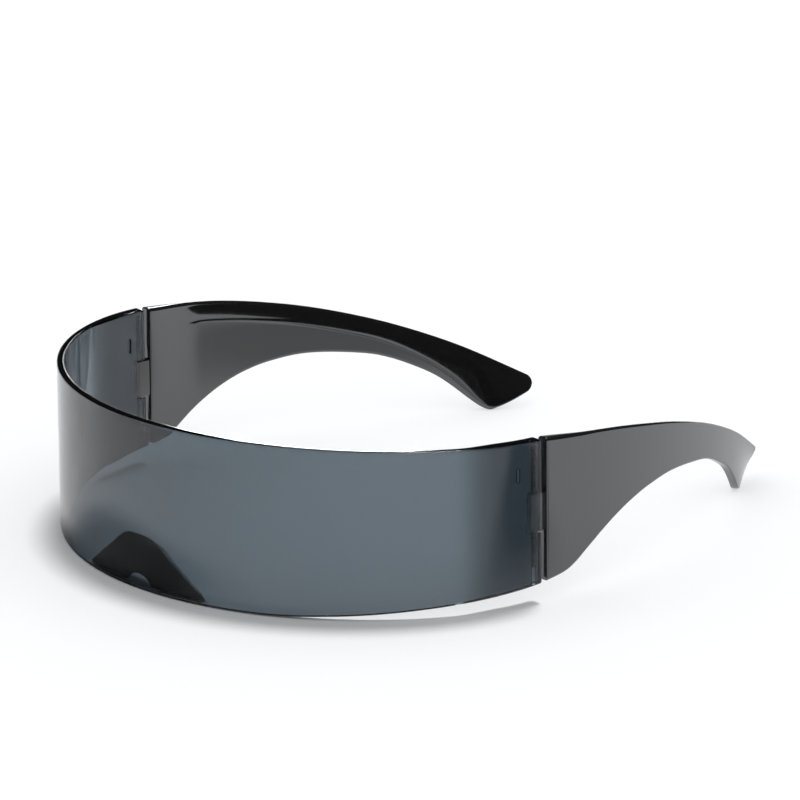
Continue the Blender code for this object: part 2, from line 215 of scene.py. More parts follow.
class TempleSizes(bpy.types.PropertyGroup):
    """Sizes and finish of the two temples."""

    back: length("Back", 0.0957, "From the hinge ends of the shield to the tips")
    tip_inset: length("Tip inset", 0.0338, "How far the tips turn inward")
    hinge_handle: length("Hinge handle", 0.0120, "How straight the temple leaves the hinge")
    tip_handle: length("Tip handle", 0.0611, "How straight the temple reaches its tip")
    tip_turn: angle("Tip turn", 34.8, "Angle between the tip and straight back")
    wall: length("Wall", 0.0021, "Wall of the arm")
    tip_wall: length("Tip wall", 0.0020, "Wall at the tip")
    thinning: length("Thinning", 0.016, "Over what length the arm thins behind the hinge")
    lean: share("Tip lean", 0.45, "Slope of the paddle's wall")
    tip_drop: length("Tip drop", 0.0276, "How far the upper edge falls to the tip")
    waist_rise: length("Waist rise", 0.02255, "Height of the underside at the waist")
    paddle_foot: length("Paddle foot", 0.00305, "Height of the paddle's lowest point")
    tip_end_height: length("Tip end height", 0.0031, "Height of the tip's end face")
    edge_radius: length("Edge radius", 0.0008, "Rounding of the long edges")
    tip_rounding: length("Tip rounding", 0.0012, "Rounding of the tip's end")
    foot_rounding: length("Foot rounding", 0.0048, "Rounding of the paddle's lowest point")
    end_radius: length("End radius", 0.0003, "Rounding of the hinge end")
    crown: length("Crown", 0.0007, "How far the inner face rolls over towards the upper edge")
    crown_depth: length("Crown depth", 0.0045, "Height of the rolled-over band")
    paddle_crown: length("Paddle crown", 0.0016, "How far the inner face rolls over at the paddle")
    plastic: colour("Plastic", (0.008, 0.008, 0.0085), "Colour of the glossy plastic")
    roughness: share("Roughness", 0.07, "Roughness of the glossy plastic")
    gloss: real("Gloss", 2.0, "Refraction index of the surface", min=1.0)


class HingeSizes(bpy.types.PropertyGroup):
    """Sizes of the pinned hinges."""

    gap: length("Gap", 0.0014, "Between the shield's end and the temple")
    pin_setback: length("Pin setback", 0.0017, "From the shield's end forward to the pin")
    tab_wall: length("Tab wall", 0.0019, "Thickness of the temple's tab")
    tab_play: length("Tab play", 0.00025, "Clearance of the tab in its pocket")
    tab_nose_play: length("Tab nose play", 0.0005, "Clearance ahead of the tab")
    tab_rise: length("Tab rise", 0.0121, "From the shield's lower end to the tab")
    tab_height: length("Tab height", 0.0090, "Height of the tab")
    tab_root: length("Tab root", 0.004, "How far the tab runs into the temple")
    tab_edge: length("Tab edge", 0.0002, "Bevel of the tab's edges")
    pin_diameter: length("Pin diameter", 0.0012, "Diameter of the steel pin")
    pin_clearance: length("Pin clearance", 0.00005, "Clearance of the pin in its bore")
    pin_hug: length("Pin hug", 0.00001, "How tightly the shield holds the pin")
    pin_bevel: length("Pin bevel", 0.0002, "Bevel of the pin's ends")
    pin_foot_depth: length("Pin foot depth", 0.004, "From the lower rim up to the pin")
    pin_head_play: length("Pin head play", 0.0003, "Above the pin in its blind bore")
    bore_cover: length("Bore cover", 0.0015, "Plastic left above the bore")
    steel: colour("Steel", (0.62, 0.62, 0.64), "Colour of the drawn steel")
    steel_roughness: share("Steel roughness", 0.28, "Roughness of the drawn steel")


class SaddleSizes(bpy.types.PropertyGroup):
    """Sizes and finish of the nose saddle."""

    half_width: length("Half width", 0.0217, "Half width against the shield")
    height: length("Height", 0.0121, "Height against the shield")
    back_half_width: length("Back half width", 0.0152, "Half width at the back")
    back_height: length("Back height", 0.0084, "Height at the back")
    depth: length("Depth", 0.0048, "From the shield to the back")
    lift: length("Lift", 0.0008, "Above the shield's lower edge")
    nose_half_width: length(
        "Nose half width", 0.0032, "Half width of the nose opening at the shield"
    )
    nose_height: length("Nose height", 0.0016, "Height of the nose opening at the shield")
    nose_back_half_width: length(
        "Nose back half width", 0.0090, "Half width of the nose opening at the back"
    )
    nose_back_height: length("Nose back height", 0.0058, "Height of the nose opening at the back")
    seat_gap: length("Seat gap", 0.0003, "Between the saddle and the shield")
    edge: share("Edge", 0.16, "Rounding of the arch's edges, as a share of the section")
    plastic: colour("Plastic", (0.004, 0.004, 0.0045), "Colour of the satin plastic")
    roughness: share("Roughness", 0.2, "Roughness of the satin plastic")


class StageSettings(bpy.types.PropertyGroup):
    """Floor, lamps and camera."""

    floor_half: length("Floor half width", 12.0, "Half the floor's width")
    paper: colour("Paper", (0.8, 0.8, 0.8), "Colour of the floor for the light that it throws back")
    sky_level: share("Sky level", 0.56, "Strength of the surrounding light")
    sky_tint: colour("Sky tint", (0.94, 0.97, 1.0), "Colour of the surrounding light")
    room_level: share("Room level", 0.02, "Brightness of the dark room that glossy faces show")
    card_spread: angle("Card spread", 64.0, "Half the angle that the white backdrop fills")
    card_top: angle("Card top", 6.0, "Elevation of the backdrop's upper edge")
    lamp_heading: vector(
        "Lamp heading",
        (0.075, -0.222, -0.972),
        "Which way the overhead light travels",
        subtype="DIRECTION",
    )
    lamp_spread: angle("Lamp spread", 13.0, "Width of the overhead lamp as an angle")
    lamp_strength: real("Lamp strength", 1.6, "Light of the overhead lamp on a level face", min=0.0)
    strip_distance: length("Strip distance", 2.5, "From the glasses to the strip light behind them")
    strip_elevation: angle("Strip elevation", 14.5, "How high the strip light stands as an angle")
    strip_offset: angle(
        "Strip offset", -0.8, "How far the strip light stands beside the camera's heading"
    )
    strip_width: length("Strip width", 0.12, "Width of the strip light")
    strip_height: length("Strip height", 0.35, "Height of the strip light")
    strip_level: real("Strip level", 9.0, "Brightness of the strip light", min=0.0)
    camera_place: vector(
        "Camera place",
        (1.16972, -0.93437, 0.49303),
        "Where the camera stands",
        subtype="TRANSLATION",
    )
    camera_turn: vector(
        "Camera turn",
        [math.radians(turn) for turn in (72.70204, 2.15666, 50.63191)],
        "How the camera is turned",
        subtype="EULER",
    )
    focal_length: real("Focal length", 301.55, "Focal length on a 36 mm sensor", unit="CAMERA")


class GlassesSettings(bpy.types.PropertyGroup):
    """Everything a user can change on the sunglasses."""

    shield: subgroup(ShieldSizes, "Shield", "The one-piece shield")
    temple: subgroup(TempleSizes, "Temples", "The two temples")
    hinge: subgroup(HingeSizes, "Hinges", "The pinned hinges")
    saddle: subgroup(SaddleSizes, "Nose saddle", "The nose saddle")
    stage: subgroup(StageSettings, "Stage", "Floor, lamps and camera")


# Curves in plan and tables


def smooth_through(table, place):
    """The value at place of a smooth curve through the table's points, with no overshoot."""
    places = np.array([row[0] for row in table])
    values = np.array([row[1] for row in table])
    steps = np.diff(places)
    rises = np.diff(values) / steps
    slopes = np.zeros(len(places))
    slopes[0] = rises[0]
    slopes[-1] = rises[-1]
    for k in range(1, len(places) - 1):
        if rises[k - 1] * rises[k] > 0.0:
            slopes[k] = 2.0 * rises[k - 1] * rises[k] / (rises[k - 1] + rises[k])
    place = min(max(place, places[0]), places[-1])
    k = min(int(np.searchsorted(places, place, side="right")) - 1, len(steps) - 1)
    t = (place - places[k]) / steps[k]
    start = values[k] * (1 + 2 * t) * (1 - t) ** 2 + steps[k] * slopes[k] * t * (1 - t) ** 2
    end = values[k + 1] * t * t * (3 - 2 * t) + steps[k] * slopes[k + 1] * t * t * (t - 1)
    return start + end


def faired(table):
    """The table's curve as closely spaced places and values, with its changes of bend eased."""
    places = np.linspace(table[0][0], table[-1][0], FAIRING_POINTS)
    values = np.array([smooth_through(table, place) for place in places])
    reach = FAIRING_REACH
    ahead = 2 * values[0] - values[reach:0:-1]
    behind = 2 * values[-1] - values[-2 : -reach - 2 : -1]
    weights = np.hanning(2 * reach + 3)[1:-1]
    weights /= weights.sum()
    return places, np.convolve(np.concatenate([ahead, values, behind]), weights, "valid")


def ease(amount):
    """0 to 1 with level ends."""
    amount = min(max(amount, 0.0), 1.0)
    return amount * amount * (3 - 2 * amount)


def eased_between(value, start, end):
    return ease((value - start) / (end - start))


def part_way(start, end, amount):
    return start + (end - start) * amount


class Plan:
    """The outer face in plan on the +X side, a cubic curve measured by distance along it."""

    def __init__(self, *handles):
        t = np.linspace(0.0, 1.0, PATH_STEPS + 1)[:, None]
        a, b, c, d = (np.array(handle) for handle in handles)
        start = a * (1 - t) ** 3 + 3 * b * t * (1 - t) ** 2
        self.points = start + 3 * c * t * t * (1 - t) + d * t**3
        pieces = np.linalg.norm(np.diff(self.points, axis=0), axis=1)
        self.runs = np.concatenate([[0.0], np.cumsum(pieces)])
        tangents = np.gradient(self.points, axis=0)
        tangents /= np.linalg.norm(tangents, axis=1)[:, None]
        self.inward = np.column_stack([-tangents[:, 1], tangents[:, 0]])
        self.length = float(self.runs[-1])

    def along(self, table, run):
        return tuple(float(np.interp(run, self.runs, table[:, k])) for k in (0, 1))

    def face(self, run):
        return self.along(self.points, run)

    def turn(self, run):
        """The direction at right angles into the wall."""
        x, y = self.along(self.inward, run)
        size = math.hypot(x, y)
        return x / size, y / size

    def row(self, run, side, **numbers):
        """A row of a rail: the place on the outer face, the way into the wall, the numbers."""
        (x, y), (inward_x, inward_y) = self.face(run), self.turn(run)
        numbers = [numbers.get(name, 0.0) for name in RAIL_NUMBERS]
        return (side * x, y, 0.0), (side * inward_x, inward_y, 0.0), numbers

    def depth_at_width(self, x, inset):
        face = self.points + inset * self.inward
        return float(np.interp(abs(x), face[:, 0], face[:, 1]))

    def run_at_depth(self, y):
        return float(np.interp(y, self.points[:, 1], self.runs))


class Layout:
    """Places that several pieces share, as worn, worked out from the settings."""

    def __init__(self, glasses):
        shield, temple, hinge = glasses.shield, glasses.temple, glasses.hinge
        self.half_width = shield.width / 2
        self.shield_plan = Plan(
            (0.0, 0.0),
            (shield.front_handle, 0.0),
            (self.half_width, shield.depth - shield.side_handle),
            (self.half_width, shield.depth),
        )
        self.temple_start = shield.depth + hinge.gap
        tip_x = self.half_width - temple.tip_inset
        tip_y = shield.depth + temple.back
        self.temple_plan = Plan(
            (self.half_width, self.temple_start),
            (self.half_width, self.temple_start + temple.hinge_handle),
            (
                tip_x + temple.tip_handle * math.sin(temple.tip_turn),
                tip_y - temple.tip_handle * math.cos(temple.tip_turn),
            ),
            (tip_x, tip_y),
        )
        self.tab_foot = shield.end_rise + hinge.tab_rise
        self.tab_head = self.tab_foot + hinge.tab_height
        self.pocket_foot = self.tab_foot - hinge.tab_play
        self.pocket_head = self.tab_head + hinge.tab_play
        self.pin_x = self.half_width - shield.pocket_skin - hinge.tab_play - hinge.tab_wall / 2
        self.pin_y = shield.depth - hinge.pin_setback
        self.pocket_ahead = self.pin_y - hinge.tab_wall / 2 - hinge.tab_nose_play
        self.bore_radius = hinge.pin_diameter / 2 + hinge.pin_clearance
        self.bore_top = shield.height - hinge.bore_cover
        self.pin_foot = shield.end_rise + hinge.pin_foot_depth
        self.rest = self.resting_pose()

    def resting_pose(self):
        """From as worn to the frame's resting pose, read off the frame's own left hinge."""
        joint = next(joint for joint in frame["joints"] if joint["name"] == "left_fold")
        axis = Vector(joint["axis"])
        turn = Matrix.Rotation(-math.atan2(axis.y, axis.z), 4, "X")
        pivot = Vector((self.pin_x, self.pin_y, (self.tab_foot + self.tab_head) / 2))
        return Matrix.Translation(Vector(joint["pos_m"]) - turn @ pivot) @ turn


def shield_wall(shield, place):
    growth = eased_between(place, WALL_GROWTH_START_SHARE, WALL_GROWTH_END_SHARE)
    return part_way(shield.front_wall, shield.end_wall, growth)


# Nodes


def feed(tree, node, feeds):
    """Fills a node's inputs: a socket is linked, anything else is set."""
    for key, value in dict(feeds).items():
        if isinstance(value, bpy.types.NodeSocket):
            tree.links.new(value, node.inputs[key])
        else:
            node.inputs[key].default_value = value


def put(tree, kind, feeds=(), **settings):
    """Adds a node with its own settings and its inputs."""
    node = tree.nodes.new(kind)
    for field, value in settings.items():
        setattr(node, field, value)
    feed(tree, node, feeds)
    return node


def result(tree, kind, feeds=(), **settings):
    """The first output of a new node."""
    return put(tree, kind, feeds, **settings).outputs[0]


def reckon(tree, operation, *feeds):
    return result(tree, "ShaderNodeMath", enumerate(feeds), operation=operation)


def multiply_add(tree, *feeds):
    return reckon(tree, "MULTIPLY_ADD", *feeds)


def steer(tree, operation, *feeds):
    """Vector arithmetic; a scale goes into its own socket."""
    if operation == "SCALE":
        feeds = {0: feeds[0], "Scale": feeds[1]}
    else:
        feeds = enumerate(feeds)
    return result(tree, "ShaderNodeVectorMath", feeds, operation=operation)


def measure(tree, operation, *feeds):
    """A number worked out from vectors."""
    feeds = enumerate(feeds)
    return put(tree, "ShaderNodeVectorMath", feeds, operation=operation).outputs["Value"]


def between(tree, amount, low, high):
    return result(tree, "ShaderNodeMix", {0: amount, 2: low, 3: high}, data_type="FLOAT")


def mixed_colour(tree, amount, low, high):
    feeds = {0: amount, 6: low, 7: high}
    return put(tree, "ShaderNodeMix", feeds, data_type="RGBA").outputs[2]


def spread(tree, value, low, high, to_low, to_high, smooth=False):
    kind = "SMOOTHSTEP" if smooth else "LINEAR"
    feeds = enumerate((value, low, high, to_low, to_high))
    return result(tree, "ShaderNodeMapRange", feeds, interpolation_type=kind)


def new_tree(name, sizes):
    """An empty geometry tree with a mesh in and out, the named inputs in sizes and a material."""
    tree = bpy.data.node_groups.new(name, "GeometryNodeTree")
    tree.is_modifier = True
    for label, kind in {"Geometry": "Geometry", **sizes, "Material": "Material"}.items():
        tree.interface.new_socket(label, in_out="INPUT", socket_type="NodeSocket" + kind)
    tree.interface.new_socket("Geometry", in_out="OUTPUT", socket_type="NodeSocketGeometry")
    return tree, tree.nodes.new("NodeGroupInput").outputs


def close_tree(tree, shape, material):
    """Ends a tree: instances made real, then the material."""
    real_shape = result(tree, "GeometryNodeRealizeInstances", {"Geometry": shape})
    feeds = {"Geometry": real_shape, "Material": material}
    dressed = result(tree, "GeometryNodeSetMaterial", feeds)
    put(tree, "NodeGroupOutput", {"Geometry": dressed})
    return tree


def swept_wall_tree():
    """A wall of a rounded section that follows a rail, and changes with the rail's own numbers.

    The object's mesh is the section and the Rail object's mesh is the path, both with their
    numbers stored on their points, which the sweep carries over to the wall. Edges are rounded,
    the inner face rolls over towards the top, and a stretch of it can open into a pocket.
    """
    numbers = "Edge Radius", "Round Limit", "Pocket Skin", "Pocket Foot", "Pocket Head"
    floats = dict.fromkeys((*numbers, "Merge Distance"), "Float")
    tree, given = new_tree("Swept Wall", {"Rail": "Object", **floats})

    def stored(name, kind="FLOAT"):
        return result(tree, "GeometryNodeInputNamedAttribute", {"Name": name}, data_type=kind)

    section = result(tree, "GeometryNodeMeshToCurve", {"Mesh": given["Geometry"]})
    feeds = {"Object": given["Rail"]}
    path = put(tree, "GeometryNodeObjectInfo", feeds, transform_space="ORIGINAL").outputs
    rail = result(tree, "GeometryNodeMeshToCurve", {"Mesh": path["Geometry"]})
    feeds = {"Curve": rail, "Profile Curve": section, "Fill Caps": True}
    swept = result(tree, "GeometryNodeCurveToMesh", feeds)

    value = {name: stored(name) for name in SECTION_NUMBERS + RAIL_NUMBERS}
    tall = reckon(tree, "SUBTRACT", value["head"], value["foot"])
    thinnest = reckon(tree, "SUBTRACT", value["wall"], value["crown"])
    limit = reckon(tree, "MULTIPLY", reckon(tree, "MINIMUM", thinnest, tall), given["Round Limit"])
    radius = reckon(tree, "MINIMUM", given["Edge Radius"], limit)
    drawn_in = reckon(tree, "SUBTRACT", radius, value["end_round"])
    inner_radius = reckon(tree, "MAXIMUM", drawn_in, 0.0)
    turned = put(tree, "ShaderNodeSeparateXYZ", {0: stored("round", "FLOAT_VECTOR")}).outputs
    flat_wall = multiply_add(tree, radius, -2.0, value["wall"])
    flat_tall = multiply_add(tree, radius, -2.0, tall)

    limit = reckon(tree, "MULTIPLY", flat_tall, BAND_LIMIT_SHARE)
    band = reckon(tree, "MINIMUM", value["band"], limit)
    height = reckon(tree, "ADD", value["foot"], radius)
    height = multiply_add(tree, value["up"], flat_tall, height)
    height = multiply_add(tree, inner_radius, turned["Y"], height)
    height = reckon(tree, "SUBTRACT", height, reckon(tree, "MULTIPLY", value["drop"], band))
    height = between(tree, value["pocket_low"], height, given["Pocket Foot"])
    height = between(tree, value["pocket_high"], height, given["Pocket Head"])

    inset = multiply_add(tree, value["across"], flat_wall, radius)
    inset = multiply_add(tree, inner_radius, turned["X"], inset)
    rolled = reckon(tree, "MULTIPLY", value["crown"], value["bulge"])
    inset = reckon(tree, "SUBTRACT", inset, rolled)
    opened = reckon(tree, "MULTIPLY", value["deep"], value["open"])
    inset = between(tree, opened, inset, given["Pocket Skin"])
    below_top = reckon(tree, "SUBTRACT", value["head"], height)
    inset = reckon(tree, "ADD", inset, value["outset"])
    inset = multiply_add(tree, value["lean"], below_top, inset)

    inward = steer(tree, "SCALE", stored("inward", "FLOAT_VECTOR"), inset)
    upward = result(tree, "ShaderNodeCombineXYZ", {"Z": height})
    shift = steer(tree, "ADD", inward, upward)
    spot = steer(tree, "ADD", stored("place", "FLOAT_VECTOR"), shift)
    placed = result(tree, "GeometryNodeSetPosition", {"Geometry": swept, "Position": spot})
    feeds = {"Geometry": placed, "Distance": given["Merge Distance"]}
    closed = result(tree, "GeometryNodeMergeByDistance", feeds)
    smooth = result(tree, "GeometryNodeSetShadeSmooth", {"Geometry": closed})
    return close_tree(tree, smooth, given["Material"])


def bevelled_pin_tree():
    """A round pin with bevelled ends, standing on every point of the object's mesh."""
    sizes = {"Radius": "Float", "Length": "Float", "End Bevel": "Float", "Sides": "Int"}
    tree, given = new_tree("Bevelled Pins", sizes)
    straight = multiply_add(tree, given["End Bevel"], -2.0, given["Length"])
    feeds = {"Vertices": given["Sides"], "Radius": given["Radius"], "Depth": straight}
    bar = put(tree, "GeometryNodeMeshCylinder", feeds, fill_type="NGON").outputs
    feeds = {0: bar["Top"], 1: bar["Bottom"]}
    face = result(tree, "FunctionNodeBooleanMath", feeds, operation="OR")
    half_bevel = reckon(tree, "MULTIPLY", given["End Bevel"], 0.5)
    slimming = reckon(tree, "DIVIDE", given["End Bevel"], given["Radius"])
    shape = bar["Mesh"]
    for narrowing in PIN_NARROWINGS:
        feeds = {"Mesh": shape, "Selection": face, "Offset Scale": half_bevel}
        drawn = put(tree, "GeometryNodeExtrudeMesh", feeds, mode="FACES").outputs
        face = drawn["Top"]
        kept = multiply_add(tree, slimming, -narrowing, 1.0)
        feeds = {"Geometry": drawn["Mesh"], "Selection": face, "Scale": kept}
        shape = result(tree, "GeometryNodeScaleElements", feeds, domain="FACE")
    lift = reckon(tree, "MULTIPLY", given["Length"], 0.5)
    lift = result(tree, "ShaderNodeCombineXYZ", {"Z": lift})
    stood = result(tree, "GeometryNodeTransform", {"Geometry": shape, "Translation": lift})
    feet = result(tree, "GeometryNodeMeshToPoints", {"Mesh": given["Geometry"]})
    pins = result(tree, "GeometryNodeInstanceOnPoints", {"Points": feet, "Instance": stood})
    return close_tree(tree, pins, given["Material"])


def add_tree(item, tree, inputs):
    """Puts a geometry tree on an object and sets its inputs by their sockets' identifiers."""
    modifier = item.modifiers.new(tree.name, "NODES")
    modifier.node_group = tree
    for socket in tree.interface.items_tree:
        if socket.in_out == "INPUT" and socket.name in inputs:
            modifier[socket.identifier] = inputs[socket.name]


# Meshes


def link(name, data):
    item = bpy.data.objects.new(name, data)
    bpy.context.scene.collection.objects.link(item)
    return item


def remove(item):
    mesh = item.data
    bpy.data.objects.remove(item, do_unlink=True)
    bpy.data.meshes.remove(mesh)


def points_mesh(name, points, closed):
    """A string of points, as a path or a section."""
    edges = [(k, k + 1) for k in range(len(points) - 1)]
    if closed:
        edges.append((len(points) - 1, 0))
    mesh = bpy.data.meshes.new(name)
    mesh.from_pydata(points, edges, [])
    return mesh


def store(mesh, name, values, kind="FLOAT"):
    """Stores a number or a vector on every point of a mesh."""
    field = mesh.attributes.new(name, kind, "POINT")
    slot = "vector" if kind == "FLOAT_VECTOR" else "value"
    field.data.foreach_set(slot, np.array(values, dtype=np.float32).ravel())


def settle(item):
    """Turns an object's evaluated shape into its own plain mesh and drops the modifiers."""
    bpy.context.view_layer.update()
    evaluated = item.evaluated_get(bpy.context.evaluated_depsgraph_get())
    mesh = bpy.data.meshes.new_from_object(evaluated)
    old = item.data
    item.modifiers.clear()
    item.data = mesh
    bpy.data.meshes.remove(old)
    return mesh


def face_outwards(mesh):
    work = bmesh.new()
    work.from_mesh(mesh)
    bmesh.ops.recalc_face_normals(work, faces=work.faces)
    work.to_mesh(mesh)
    work.free()


def skin(name, rings):
    """A closed mesh through rings of points, with a flat face on each end."""
    work = bmesh.new()
    rows = [[work.verts.new(point) for point in ring] for ring in rings]
    for row, after in zip(rows, rows[1:]):
        for k, vertex in enumerate(row):
            ahead = (k + 1) % len(row)
            work.faces.new((vertex, row[ahead], after[ahead], after[k]))
    work.faces.new(rows[0])
    work.faces.new(rows[-1])
    bmesh.ops.recalc_face_normals(work, faces=work.faces)
    mesh = bpy.data.meshes.new(name)
    work.to_mesh(mesh)
    work.free()
    return mesh


def cut(item, meshes, operation="DIFFERENCE"):
    """Takes meshes away from item, or adds them to it, one after another, for good."""
    cutters = [link(mesh.name, mesh) for mesh in meshes]
    for cutter in cutters:
        modifier = item.modifiers.new(cutter.name, "BOOLEAN")
        modifier.operation = operation
        modifier.solver = "EXACT"
        modifier.object = cutter
    settle(item)
    for cutter in cutters:
        remove(cutter)


def circle(x, y, radius):
    turns = [2 * math.pi * k / BORE_SIDES for k in range(BORE_SIDES)]
    return [(x + radius * math.cos(turn), y + radius * math.sin(turn)) for turn in turns]


def wall_section(crowned=False, pocketed=False):
    """The numbers of the points round a wall's section, from the outer foot round to the start."""
    points = []

    def add(across, up, cosine, sine, drop=0.0, bulge=0.0, low=0.0, high=0.0, deep=0.0, edge=0.0):
        points.append((across, up, drop, bulge, low, high, deep, cosine, sine, edge))

    def corner(across, up, start, bulge=0.0):
        for k in range(ROUND_STEPS + 1):
            turn = start + QUARTER_TURN * k / ROUND_STEPS
            edge = math.sin(math.pi * k / ROUND_STEPS)
            add(across, up, math.cos(turn), math.sin(turn), bulge=bulge, edge=edge)

    corner(0.0, 0.0, math.pi)
    corner(1.0, 0.0, 3 * QUARTER_TURN)
    add(1.0, 0.0, 1.0, SUPPORT_SHARE)
    if pocketed:
        for high, deep in ((0.0, 0.0), (0.0, 1.0), (1.0, 1.0), (1.0, 0.0)):
            add(1.0, 0.5, 1.0, 0.0, low=1.0 - high, high=high, deep=deep)
    if crowned:
        for up in INNER_SUPPORTS:
            add(1.0, up, 1.0, 0.0, drop=up)
        for k in range(CROWN_STEPS):
            rolled = k / CROWN_STEPS
            add(1.0, 1.0, 1.0, 0.0, drop=1 - rolled, bulge=rolled**ROLL_LAW)
    else:
        add(1.0, 1.0, 1.0, -SUPPORT_SHARE)
    corner(1.0, 1.0, 0.0, bulge=1.0)
    corner(0.0, 1.0, QUARTER_TURN)
    add(0.0, 1.0, -1.0, -SUPPORT_SHARE)
    add(0.0, 0.5, -1.0, 0.0)
    add(0.0, 0.0, -1.0, SUPPORT_SHARE)
    return points


def sweep_wall(name, section, rail, sizes, material):
    """Sweeps a section along a rail with the geometry tree and returns the finished object.

    Each rail row holds the place, the inward direction and the numbers in RAIL_NUMBERS.
    """
    ring = points_mesh(name, [(k, 0.0, 0.0) for k in range(len(section))], closed=True)
    numbers = np.array(section)
    for k, field in enumerate(SECTION_NUMBERS):
        store(ring, field, numbers[:, k])
    rounds = np.zeros((len(section), 3))
    rounds[:, :2] = numbers[:, len(SECTION_NUMBERS) : -1]
    store(ring, "round", rounds, "FLOAT_VECTOR")
    store(ring, "edge", numbers[:, -1])
    path = points_mesh(name + "_rail", [row[0] for row in rail], closed=False)
    store(path, "place", [row[0] for row in rail], "FLOAT_VECTOR")
    store(path, "inward", [row[1] for row in rail], "FLOAT_VECTOR")
    for k, field in enumerate(RAIL_NUMBERS):
        store(path, field, [row[2][k] for row in rail])
    item = link(name, ring)
    track = link(name + "_rail", path)
    inputs = {
        "Rail": track,
        "Material": material,
        "Round Limit": ROUND_LIMIT_SHARE,
        "Merge Distance": MERGE_DISTANCE,
        **sizes,
    }
    add_tree(item, bpy.data.node_groups.get("Swept Wall") or swept_wall_tree(), inputs)
    mesh = settle(item)
    remove(track)
    for field in (*SECTION_NUMBERS, *RAIL_NUMBERS, "round", "place", "inward"):
        mesh.attributes.remove(mesh.attributes[field])
    face_outwards(mesh)
    return item


def keep_in_box(mesh):
    """Brings points that finer roundings put a hair outside the frame's box back to its faces."""
    spots = np.empty(3 * len(mesh.vertices), dtype=np.float32)
    mesh.vertices.foreach_get("co", spots)
    low, high = (np.array(corner, dtype=np.float32) for corner in cad_box)
    mesh.vertices.foreach_set("co", np.clip(spots.reshape(-1, 3), low, high).ravel())


def finish_piece(item, layout, body, slot, *nodes):
    """Tips the piece to the resting pose, shades it, and hands it to the frame."""
    mesh = item.data
    mesh.name = item.name
    mesh.transform(layout.rest)
    keep_in_box(mesh)
    mesh.shade_smooth()
    mesh.set_sharp_from_angle(angle=SHARP_ANGLE)
    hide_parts(*nodes)
    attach(item, body)


def end_rounding(distance, radius):
    """How far a rounded end draws in at a distance from the end."""
    if distance >= radius:
        return 0.0
    return radius - math.sqrt(radius**2 - (radius - distance) ** 2)


def rounded_stops(radius):
    """Distances from an end that cut its rounding evenly."""
    turns = np.linspace(0.0, QUARTER_TURN, END_ROUND_STATIONS)
    return [radius * (1 - math.cos(turn)) for turn in turns]


# Shield


def shield_rail(shield, layout):
    plan = layout.shield_plan
    pocket_run = plan.run_at_depth(layout.pocket_ahead)
    radius = shield.end_radius
    stops = [(pocket_run, False), (pocket_run, True)]
    for run in np.linspace(0.0, plan.length, SHIELD_STATIONS).tolist():
        if run < plan.length - radius and abs(run - pocket_run) > 2 * radius:
            stops.append((run, run > pocket_run))
    stops += [(plan.length - stop, True) for stop in rounded_stops(radius)]
    stops.sort()
    rail = []
    for side, order in ((-1, stops[::-1]), (1, stops[1:])):
        for run, opened in order:
            place = run / plan.length
            numbers = {
                "wall": shield_wall(shield, place),
                "foot": shield.end_rise * smooth_through(SHIELD_RISE_SHARES, place),
                "head": shield.height,
                "end_round": end_rounding(plan.length - run, radius),
                "open": float(opened),
            }
            rail.append(plan.row(run, side, **numbers))
    return rail


def moulding_mark(shield, layout, side, word):
    """The slot sunk in the inner face ahead of each hinge."""
    plan = layout.shield_plan
    run = plan.length - shield.mark_setback
    inset = shield_wall(shield, run / plan.length) - shield.mark_depth
    x, y = plan.face(run)
    inward_x, inward_y = plan.turn(run)
    deep_x, y = x + inset * inward_x, y + inset * inward_y
    middle = shield.height - shield.mark_drop
    straight = (shield.mark_height - shield.mark_width) / 2
    steps = [(part * shield.mark_depth, swell) for part, swell in MARK_SWELLS]
    rings = []
    for depth, swell in (*steps, (shield.end_wall, 1.0)):
        ring = []
        for k, (across, up) in enumerate(circle(y, middle, shield.mark_width / 2 * swell)):
            lift = straight if k <= BORE_SIDES // 2 else -straight
            ring.append((side * (deep_x - depth), across, up + lift))
        rings.append(ring)
    return skin("mark_" + word, rings)


def bore(layout, name, side, foot, head, radius):
    """A round cutter on a pin's line."""
    outline = circle(side * layout.pin_x, layout.pin_y, radius)
    return skin(name, [[(x, y, z) for x, y in outline] for z in (foot, head)])


def build_shield(glasses):
    shield = glasses.shield
    layout = Layout(glasses)
    sizes = {
        "Edge Radius": shield.rim_radius,
        "Pocket Skin": shield.pocket_skin,
        "Pocket Foot": layout.pocket_foot,
        "Pocket Head": layout.pocket_head,
    }
    section, rail = wall_section(pocketed=True), shield_rail(shield, layout)
    item = sweep_wall("shield", section, rail, sizes, smoke_plastic(shield))
    hug = glasses.hinge.pin_diameter / 2 - glasses.hinge.pin_hug
    cutters = []
    for side, word in SIDES:
        cutters.append(bore(layout, "bore_" + word, side, 0.0, layout.pin_foot, layout.bore_radius))
        cutters.append(bore(layout, "pin_seat_" + word, side, 0.0, layout.bore_top, hug))
        cutters.append(moulding_mark(shield, layout, side, word))
    cut(item, cutters)
    finish_piece(item, layout, "visor", "smoke_lens", "visor_lens")


# Temples


